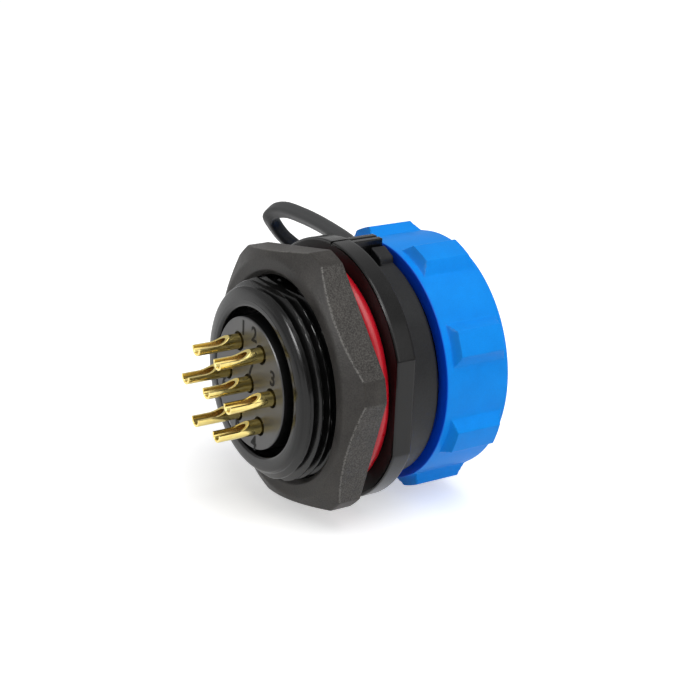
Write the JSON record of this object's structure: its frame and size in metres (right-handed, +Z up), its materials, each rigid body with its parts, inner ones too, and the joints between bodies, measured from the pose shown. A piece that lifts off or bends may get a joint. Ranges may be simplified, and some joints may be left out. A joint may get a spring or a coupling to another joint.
{
  "type": "panel-mount waterproof circular connector",
  "caption": "Round panel-mount connector receptacle with solder-cup contacts, hexagon panel nut and seal, and a screw-on ribbed protective cap held by a moulded lanyard.",
  "frame": {"origin": "centre of the flange's rear face, where the connector seats on its panel", "axes": "+Y along the connector's axis towards the cap, -Y towards the solder cups, +Z up through the index rib, +X to the right seen from the solder side"},
  "size_m": [0.033, 0.0312, 0.0284],
  "materials": {
    "shell_plastic": "semi-gloss moulded black nylon",
    "insert_plastic": "satin moulded black",
    "red_silicone": "satin silicone rubber",
    "spring_steel": "plain spring steel",
    "gold_contact": "gold-plated brass",
    "nut_plastic": "fine matte glass-filled nylon",
    "blue_plastic": "satin moulded blue nylon",
    "black_rubber": "satin moulded rubber"
  },
  "bodies": {
    "receptacle": {"receptacle_shell": "shell_plastic", "front_insert": "insert_plastic", "rear_insert": "insert_plastic", "insert_seal": "red_silicone", "insert_retainer": "spring_steel", "contact_1": "gold_contact", "contact_2": "gold_contact", "contact_3": "gold_contact", "contact_4": "gold_contact", "contact_5": "gold_contact", "contact_6": "gold_contact", "contact_7": "gold_contact", "panel_seal": "red_silicone"},
    "nut": {"hex_nut": "nut_plastic"},
    "lanyard": {"lanyard": "black_rubber"},
    "cap": {"cap": "blue_plastic", "cap_seal": "black_rubber"}
  },
  "joints": [
    {"name": "nut_travel", "type": "slide", "parent": "receptacle", "child": "nut", "axis": [0, -1, 0], "range_m": [0, 0.0024]},
    {"name": "cap_travel", "type": "slide", "parent": "receptacle", "child": "lanyard", "axis": [0, 1, 0], "range_m": [0, 0.00451], "deforming": ["lanyard"]},
    {"name": "cap_turn", "type": "hinge", "parent": "lanyard", "child": "cap", "pos_m": [0, 0.01, 0], "axis": [0, 1, 0], "range_deg": [0, 1080]}
  ],
  "couplings": [
    {"joint": "cap_travel", "follows": "cap_turn", "m_per_rad": 0.00023873}
  ]
}
